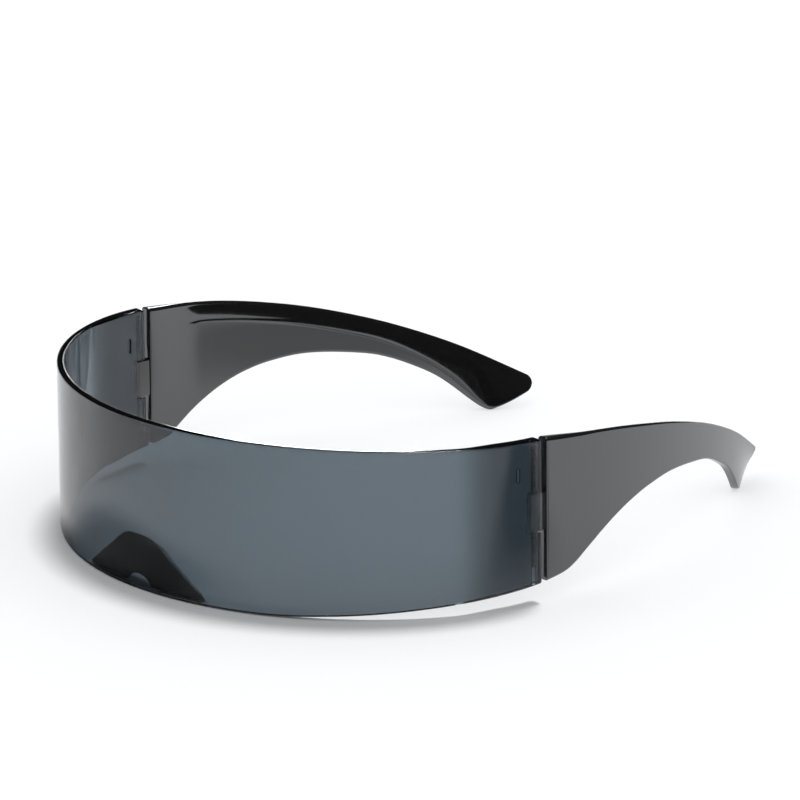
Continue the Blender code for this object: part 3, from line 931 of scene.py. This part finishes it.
def temple_edges(shield, temple):
    """The heights of the underside and the top, as a function of the share of the length."""
    rise = temple.waist_rise - shield.end_rise
    fall = temple.waist_rise - temple.paddle_foot
    spare = PADDLE_FOOT_SHARE - WAIST_SHARE
    underside = [
        (along * WAIST_SHARE, shield.end_rise + up * rise) for along, up in UNDERSIDE_RISE_SHARES
    ]
    underside += [
        (WAIST_SHARE + along * spare, temple.paddle_foot + up * fall)
        for along, up in UNDERSIDE_FALL_SHARES[1:]
    ]
    drops = faired(TOP_DROP_SHARES)
    heights = faired(underside)
    end_foot = shield.height - temple.tip_drop - temple.tip_end_height
    slope = (end_foot - temple.paddle_foot) / (1 - PADDLE_FOOT_SHARE)

    def edges(place):
        top = shield.height - temple.tip_drop * float(np.interp(place, *drops))
        foot = float(np.interp(place, *heights))
        cut_line = temple.paddle_foot + slope * (place - PADDLE_FOOT_SHARE)
        foot = (foot + cut_line + math.hypot(foot - cut_line, temple.foot_rounding)) / 2
        return foot, top

    return edges


def temple_wall(shield, temple, layout, run):
    place = run / layout.temple_plan.length
    taper = (place - TIP_TAPER_START_SHARE) / (1 - TIP_TAPER_START_SHARE)
    wall = part_way(shield.end_wall, temple.wall, ease(run / temple.thinning))
    return wall + (temple.tip_wall - temple.wall) * max(taper, 0.0)


def temple_rail(shield, temple, layout, side):
    plan = layout.temple_plan
    rounding = temple.tip_rounding
    runs = np.linspace(0.0, plan.length - rounding, TEMPLE_STATIONS).tolist()
    runs = [run for run in runs if run > temple.end_radius] + rounded_stops(temple.end_radius)
    turns = np.linspace(0.0, QUARTER_TURN, TIP_STATIONS)[1:]
    runs += [plan.length - rounding + rounding * math.sin(turn) for turn in turns]
    edges = temple_edges(shield, temple)
    rail = []
    for run in sorted(runs):
        place = run / plan.length
        foot, top = edges(place)
        wall = full_wall = temple_wall(shield, temple, layout, run)
        spare = run - (plan.length - rounding)
        if spare > 0.0:
            squeeze = math.sqrt(max(1 - (spare / rounding) ** 2, END_FACE_SHARE**2))
            middle = (top + foot) / 2
            top = middle + (top - middle) * squeeze
            foot = middle - (middle - foot) * squeeze
            wall *= math.sqrt(squeeze)
        growth = eased_between(place, PADDLE_ROLL_START_SHARE, PADDLE_ROLL_END_SHARE)
        crown = part_way(temple.crown, temple.paddle_crown, growth)
        numbers = {
            "wall": wall,
            "foot": foot,
            "head": top,
            "lean": temple.lean * place**LEAN_POWER,
            "outset": (full_wall - wall) / 2,
            "crown": min(crown * ease(run / temple.thinning), ROLL_LIMIT_SHARE * wall),
            "band": part_way(temple.crown_depth, top - foot, growth),
            "end_round": end_rounding(run, temple.end_radius),
        }
        rail.append(plan.row(run, side, **numbers))
    return rail if side > 0 else rail[::-1]


def hinge_tab(layout, hinge, side, word):
    """The tab that turns in the shield's pocket, round at its nose, with bevelled edges."""
    root = layout.temple_start + hinge.tab_root
    bevel = hinge.tab_edge
    steps = [(drawn * bevel, run * bevel) for drawn, run in TAB_BEVEL_SHARES]
    levels = [(drawn_in, layout.tab_foot + up) for drawn_in, up in steps]
    levels += [(drawn_in, layout.tab_head - down) for drawn_in, down in reversed(steps)]
    middle = side * layout.pin_x
    rings = []
    for drawn_in, z in levels:
        size = hinge.tab_wall / 2 - drawn_in
        ring = [(middle + size, layout.pin_y + bevel, z)]
        for k in range(NOSE_STEPS + 1):
            turn = math.pi * k / NOSE_STEPS
            spot = (middle + size * math.cos(turn), layout.pin_y - size * math.sin(turn), z)
            ring.append(spot)
        ring += [(middle - size, layout.pin_y + bevel, z)]
        ring += [(middle - size, root, z), (middle + size, root, z)]
        rings.append(ring)
    return skin("tab_" + word, rings)


def build_temples(glasses):
    shield, temple, hinge = glasses.shield, glasses.temple, glasses.hinge
    layout = Layout(glasses)
    material = gloss_temple_plastic(temple)
    sizes = {"Edge Radius": temple.edge_radius}
    section = wall_section(crowned=True)
    for side, word in SIDES:
        rail = temple_rail(shield, temple, layout, side)
        item = sweep_wall("temple_arm_" + word, section, rail, sizes, material)
        cut(item, [hinge_tab(layout, hinge, side, word)], "UNION")
        reach = layout.pocket_foot, layout.pocket_head, layout.bore_radius
        cut(item, [bore(layout, "tab_bore_" + word, side, *reach)])
        finish_piece(item, layout, word + "_arm", "gloss_grey_plastic", "temple_" + word)


# Pins and saddle


def build_pins(glasses):
    hinge = glasses.hinge
    layout = Layout(glasses)
    feet = [(side * layout.pin_x, layout.pin_y, layout.pin_foot) for side, _ in SIDES]
    item = link("hinge_pins", points_mesh("hinge_pins", feet, closed=False))
    inputs = {
        "Radius": hinge.pin_diameter / 2,
        "Length": layout.bore_top - hinge.pin_head_play - layout.pin_foot,
        "End Bevel": hinge.pin_bevel,
        "Sides": BORE_SIDES,
        "Material": drawn_steel(hinge),
    }
    add_tree(item, bevelled_pin_tree(), inputs)
    face_outwards(settle(item))
    finish_piece(item, layout, "visor", "pin_steel", "hinge_pin_left", "hinge_pin_right")


def saddle_section(saddle, shield, layout, place):
    """One section of the arch: place runs from -1 at one foot over the top to 1 at the other."""
    along = abs(place)
    side = 1 if place >= 0.0 else -1
    outer_height = smooth_through(SADDLE_OUTLINE_SHARES, along)
    turn = QUARTER_TURN * along

    def point(across, back):
        outer_x = along * part_way(saddle.half_width, saddle.back_half_width, back)
        outer_z = outer_height * part_way(saddle.height, saddle.back_height, back)
        nose_x = part_way(saddle.nose_half_width, saddle.nose_back_half_width, back)
        nose_z = part_way(saddle.nose_height, saddle.nose_back_height, back)
        x = part_way(outer_x, math.sin(turn) * nose_x, across)
        z = part_way(outer_z, math.cos(turn) * nose_z, across)
        seat = layout.shield_plan.depth_at_width(x, shield.front_wall + saddle.seat_gap)
        return side * x, seat + back * saddle.depth, z + saddle.lift

    edge = saddle.edge
    ring = []
    for across, back, start in (
        (1 - edge, edge, -QUARTER_TURN),
        (1 - edge, 1 - edge, 0.0),
        (edge, 1 - edge, QUARTER_TURN),
        (edge, edge, math.pi),
    ):
        for k in range(ROUND_STEPS + 1):
            bend = start + QUARTER_TURN * k / ROUND_STEPS
            ring.append(point(across + edge * math.cos(bend), back + edge * math.sin(bend)))
    stops = np.linspace(edge, 1 - edge, SADDLE_FRONT_STOPS)[1:-1]
    return ring + [point(float(across), 0.0) for across in stops]


def build_saddle(glasses):
    saddle, shield = glasses.saddle, glasses.shield
    layout = Layout(glasses)
    places = np.linspace(-1.0, 1.0, SADDLE_STATIONS)
    rings = [saddle_section(saddle, shield, layout, float(place)) for place in places]
    item = link("nose_rest", skin("nose_rest", rings))
    item.data.materials.append(satin_saddle_plastic(saddle))
    finish_piece(item, layout, "visor", "black_saddle_plastic", "nose_saddle")


# Finishes


def new_material(name):
    material = bpy.data.materials.new(name)
    material.use_nodes = True
    tree = material.node_tree
    return material, tree, tree.nodes["Principled BSDF"]


def paint(colour, strength=1.0):
    """A colour made lighter or darker, with its alpha."""
    return (*(strength * part for part in colour), 1.0)


def grain(tree, place, scale, detail=2.0):
    feeds = {"Vector": place, "Scale": scale, "Detail": detail}
    return result(tree, "ShaderNodeTexNoise", feeds)


def relief(tree, height, strength, distance, **under):
    """A surface's direction after a relief, over another one given as Normal."""
    feeds = {"Height": height, "Strength": strength, "Distance": distance, **under}
    return result(tree, "ShaderNodeBump", feeds)


def object_place(tree, scale=(1.0, 1.0, 1.0)):
    place = put(tree, "ShaderNodeTexCoord").outputs["Object"]
    return result(tree, "ShaderNodeMapping", {"Vector": place, "Scale": scale})


def smoke_plastic(shield):
    """Clear moulded plastic, tinted right through, with faint waves and fine wipe marks."""
    material, tree, shader = new_material("Smoke shield plastic")
    wiped = grain(tree, object_place(tree, (1.0, 1.0, 0.15)), scale=900.0, detail=3.0)
    haze = reckon(tree, "MULTIPLY", wiped, grain(tree, object_place(tree), scale=60.0))
    waves = grain(tree, object_place(tree, (1.0, 1.0, 0.25)), scale=55.0, detail=1.0)
    feeds = {
        "Base Color": WHITE,
        "Transmission Weight": 1.0,
        "IOR": SMOKE_REFRACTION,
        "Roughness": spread(tree, haze, *HAZE_RANGE, to_low=0.0, to_high=0.03),
        "Normal": relief(tree, waves, shield.waviness, WAVE_HEIGHT),
    }
    feed(tree, shader, feeds)
    feeds = {"Color": paint(shield.tint), "Density": shield.tint_density}
    tint = result(tree, "ShaderNodeVolumeAbsorption", feeds)
    feed(tree, tree.nodes["Material Output"], {"Volume": tint})
    return material


def gloss_temple_plastic(temple):
    """Polished dark grey plastic with slow waves, faint flow clouds and edges rubbed duller."""
    material, tree, shader = new_material("Gloss temple plastic")
    place = object_place(tree)
    clouds = grain(tree, place, scale=45.0, detail=3.0)
    dark, light, worn = (paint(temple.plastic, strength) for strength in (0.9, 1.12, 1.7))
    body = mixed_colour(tree, clouds, dark, light)
    edge = put(tree, "ShaderNodeAttribute", attribute_name="edge").outputs["Fac"]
    rubbed = reckon(tree, "MULTIPLY", edge, grain(tree, place, scale=400.0, detail=4.0))
    wiped = grain(tree, object_place(tree, (1.0, 0.2, 1.0)), scale=1200.0, detail=3.0)
    polished, hazy = 0.75 * temple.roughness, 1.25 * temple.roughness
    rough = spread(tree, wiped, *NOISE_RANGE, polished, hazy)
    waves = grain(tree, place, scale=38.0, detail=1.0)
    waved = relief(tree, waves, strength=0.25, distance=WAVE_HEIGHT)
    feeds = {
        "IOR": temple.gloss,
        "Base Color": mixed_colour(tree, rubbed, body, worn),
        "Roughness": multiply_add(tree, rubbed, RUBBED_ROUGHNESS, rough),
        "Normal": relief(tree, wiped, strength=0.012, distance=FINE_HEIGHT, Normal=waved),
    }
    feed(tree, shader, feeds)
    return material


def satin_saddle_plastic(saddle):
    """Fine-grained black plastic, a little shinier where it is touched."""
    material, tree, shader = new_material("Satin saddle plastic")
    place = object_place(tree)
    clouds = grain(tree, place, scale=160.0, detail=3.0)
    dark, light = paint(saddle.plastic, 0.8), paint(saddle.plastic, 1.3)
    touched, dull = saddle.roughness - 0.05, saddle.roughness + 0.07
    pores = grain(tree, place, scale=9000.0)
    feeds = {
        "Base Color": mixed_colour(tree, clouds, dark, light),
        "Roughness": spread(tree, clouds, *NOISE_RANGE, touched, dull),
        "Normal": relief(tree, pores, strength=0.02, distance=FINE_HEIGHT),
    }
    feed(tree, shader, feeds)
    return material


def drawn_steel(hinge):
    """Bright wire with fine rings from drawing."""
    material, tree, shader = new_material("Drawn pin steel")
    lines = grain(tree, object_place(tree, (1.0, 1.0, 12.0)), scale=1500.0, detail=3.0)
    dull, reflected_shade = paint(hinge.steel, 0.8), paint(hinge.steel)
    smooth, rough = hinge.steel_roughness - 0.06, hinge.steel_roughness + 0.08
    feeds = {
        "Metallic": 1.0,
        "Base Color": mixed_colour(tree, lines, dull, reflected_shade),
        "Roughness": spread(tree, lines, *NOISE_RANGE, smooth, rough),
        "Normal": relief(tree, lines, strength=0.15, distance=FINE_HEIGHT),
    }
    feed(tree, shader, feeds)
    return material


def white_paper(stage):
    """Floor paper: toothed and a little grey for the light that it throws back, plain white for
    the camera and the shield, and for glossy faces white with patches of painted shade.
    """
    material, tree, shader = new_material("White floor paper")
    tooth = grain(tree, object_place(tree), scale=700.0)
    soft = mixed_colour(tree, tooth, paint(stage.paper, 0.97), paint(stage.paper))
    ray = put(tree, "ShaderNodeLightPath").outputs
    shade = 1.0
    # Painted shade: each patch darkens the floor in a soft ellipse, seen by glossy rays only
    for (x, y), turn, (along, across), full, level in SHADE_PATCHES:
        feeds = {
            "Vector": put(tree, "ShaderNodeTexCoord").outputs["Object"],
            "Location": (x, y, 0.0),
            "Rotation": (0.0, 0.0, turn),
            "Scale": (along, across, 1.0),
        }
        flat = result(tree, "ShaderNodeMapping", feeds, vector_type="TEXTURE")
        away = measure(tree, "LENGTH", flat)
        patch = spread(tree, away, full, 1.0, level, 1.0, smooth=True)
        shade = reckon(tree, "MULTIPLY", patch, shade)
    mirrored = reckon(tree, "SUBTRACT", ray["Is Glossy Ray"], ray["Is Transmission Ray"])
    shade = between(tree, reckon(tree, "MAXIMUM", mirrored, 0.0), 1.0, shade)
    reflected_shade = result(tree, "ShaderNodeCombineColor", {0: shade, 1: shade, 2: shade})
    seen = reckon(tree, "MAXIMUM", ray["Is Camera Ray"], ray["Is Glossy Ray"])
    seen = reckon(tree, "MAXIMUM", seen, ray["Is Transmission Ray"])
    white = mixed_colour(tree, seen, soft, reflected_shade)
    feed(tree, shader, {"Base Color": white, "Roughness": 1.0, "Specular IOR Level": 0.0})
    return material


# Stage


def light_world(stage):
    """Even light for dull faces; a white backdrop and a dark room for glossy and clear ones."""
    world = bpy.data.worlds.new("Studio")
    bpy.context.scene.world = world
    world.use_nodes = True
    tree = world.node_tree
    back = Matrix.Rotation(stage.camera_turn[2], 3, "Z") @ Vector((0.0, 1.0, 0.0))
    heading = put(tree, "ShaderNodeTexCoord").outputs["Generated"]
    parts = put(tree, "ShaderNodeSeparateXYZ", {0: heading}).outputs
    flat = result(tree, "ShaderNodeCombineXYZ", {"X": parts["X"], "Y": parts["Y"]})
    facing = measure(tree, "DOT_PRODUCT", steer(tree, "NORMALIZE", flat), back)
    soft = BACKDROP_SOFTNESS
    outside, inside = math.cos(stage.card_spread + soft), math.cos(stage.card_spread - soft)
    beside = spread(tree, facing, outside, inside, 0.0, 1.0, smooth=True)
    low, high = math.sin(stage.card_top - soft), math.sin(stage.card_top + soft)
    under = spread(tree, parts["Z"], low, high, 1.0, 0.0, smooth=True)
    room = between(tree, reckon(tree, "MULTIPLY", beside, under), stage.room_level, 1.0)
    ray = put(tree, "ShaderNodeLightPath").outputs
    mirrored = reckon(tree, "MAXIMUM", ray["Is Glossy Ray"], ray["Is Transmission Ray"])
    level = between(tree, mirrored, stage.sky_level, room)
    seen = reckon(tree, "MAXIMUM", mirrored, ray["Is Camera Ray"])
    feeds = {
        "Color": mixed_colour(tree, seen, paint(stage.sky_tint), WHITE),
        "Strength": between(tree, ray["Is Camera Ray"], level, 1.0),
    }
    feed(tree, tree.nodes["Background"], feeds)


def hang_lamps(stage):
    """A soft overhead lamp, and a strip light low behind the glasses that draws their rims.

    The overhead lamp's shadow is that of the shield and its saddle.
    """
    lamp = bpy.data.lights.new("Overhead lamp", "SUN")
    lamp.angle = stage.lamp_spread
    lamp.energy = stage.lamp_strength
    overhead = link("Overhead lamp", lamp)
    overhead.rotation_euler = Vector(stage.lamp_heading).to_track_quat("-Z", "Y").to_euler()
    casts = bpy.data.collections.new("Casts the overhead shadow")
    for name in ("shield", "nose_rest"):
        if name in bpy.data.objects:
            casts.objects.link(bpy.data.objects[name])
    overhead.light_linking.blocker_collection = casts

    strip = bpy.data.lights.new("Back strip", "AREA")
    strip.shape = "RECTANGLE"
    strip.size = stage.strip_width
    strip.size_y = stage.strip_height
    strip.energy = stage.strip_level * math.pi * stage.strip_width * stage.strip_height
    back = link("Back strip", strip)
    heading = stage.camera_turn[2] + QUARTER_TURN - stage.strip_offset
    level = math.cos(stage.strip_elevation)
    rise = math.sin(stage.strip_elevation)
    aim = Vector((level * math.cos(heading), level * math.sin(heading), rise))
    back.location = stage.strip_distance * aim
    back.rotation_euler = aim.to_track_quat("Z", "Y").to_euler()
    back.visible_camera = False


def build_stage(stage):
    corners = ((-1, -1), (1, -1), (1, 1), (-1, 1))
    mesh = bpy.data.meshes.new("floor")
    spots = [(x * stage.floor_half, y * stage.floor_half, -FLOOR_DROP) for x, y in corners]
    mesh.from_pydata(spots, [], [range(len(spots))])
    mesh.materials.append(white_paper(stage))
    floor = link("floor", mesh)
    light_world(stage)
    hang_lamps(stage)
    lens = bpy.data.cameras.new("Camera")
    lens.lens = stage.focal_length
    lens.sensor_width = SENSOR_WIDTH
    lens.clip_start = CLIP_START
    lens.clip_end = CLIP_END
    camera = link("Camera", lens)
    camera.location = stage.camera_place
    camera.rotation_euler = stage.camera_turn
    scene = bpy.context.scene
    scene.camera = camera
    scene.view_settings.view_transform = "Standard"


# Operators and panel


class GLASSES_OT_shield(bpy.types.Operator):
    """Builds the one-piece smoke shield with its hinge pockets"""

    bl_idname = "glasses.shield"
    bl_label = "Build Shield"

    def execute(self, context):
        build_shield(context.scene.glasses)
        return {"FINISHED"}


class GLASSES_OT_temples(bpy.types.Operator):
    """Builds the two folding temples with their hinge tabs"""

    bl_idname = "glasses.temples"
    bl_label = "Build Temples"

    def execute(self, context):
        build_temples(context.scene.glasses)
        return {"FINISHED"}


class GLASSES_OT_pins(bpy.types.Operator):
    """Builds the two steel hinge pins"""

    bl_idname = "glasses.pins"
    bl_label = "Build Hinge Pins"

    def execute(self, context):
        build_pins(context.scene.glasses)
        return {"FINISHED"}


class GLASSES_OT_saddle(bpy.types.Operator):
    """Builds the nose saddle behind the shield"""

    bl_idname = "glasses.saddle"
    bl_label = "Build Nose Saddle"

    def execute(self, context):
        build_saddle(context.scene.glasses)
        return {"FINISHED"}


class GLASSES_OT_stage(bpy.types.Operator):
    """Sets up the floor, the lamps and the camera"""

    bl_idname = "glasses.stage"
    bl_label = "Set Up Stage"

    def execute(self, context):
        build_stage(context.scene.glasses.stage)
        return {"FINISHED"}


class VIEW3D_PT_glasses(bpy.types.Panel):
    """Lists the steps and their sizes in the sidebar"""

    bl_label = "Shield Sunglasses"
    bl_space_type = "VIEW_3D"
    bl_region_type = "UI"
    bl_category = "Glasses"

    def draw(self, context):
        glasses = context.scene.glasses
        for sizes, operator in (
            (glasses.shield, GLASSES_OT_shield),
            (glasses.temple, GLASSES_OT_temples),
            (glasses.hinge, GLASSES_OT_pins),
            (glasses.saddle, GLASSES_OT_saddle),
            (glasses.stage, GLASSES_OT_stage),
        ):
            box = self.layout.box()
            box.operator(operator.bl_idname)
            for field in sizes.bl_rna.properties:
                if not field.is_readonly and field.identifier != "name":
                    box.prop(sizes, field.identifier)


CLASSES = (
    ShieldSizes,
    TempleSizes,
    HingeSizes,
    SaddleSizes,
    StageSettings,
    GlassesSettings,
    GLASSES_OT_shield,
    GLASSES_OT_temples,
    GLASSES_OT_pins,
    GLASSES_OT_saddle,
    GLASSES_OT_stage,
    VIEW3D_PT_glasses,
)


def register():
    for item in CLASSES:
        bpy.utils.register_class(item)
    bpy.types.Scene.glasses = bpy.props.PointerProperty(type=GlassesSettings)


def unregister():
    del bpy.types.Scene.glasses
    for item in reversed(CLASSES):
        bpy.utils.unregister_class(item)


def main():
    register()
    bpy.ops.glasses.shield()
    bpy.ops.glasses.temples()
    bpy.ops.glasses.pins()
    bpy.ops.glasses.saddle()
    bpy.ops.glasses.stage()
    bpy.context.view_layer.update()


if __name__ == "__main__":
    main()
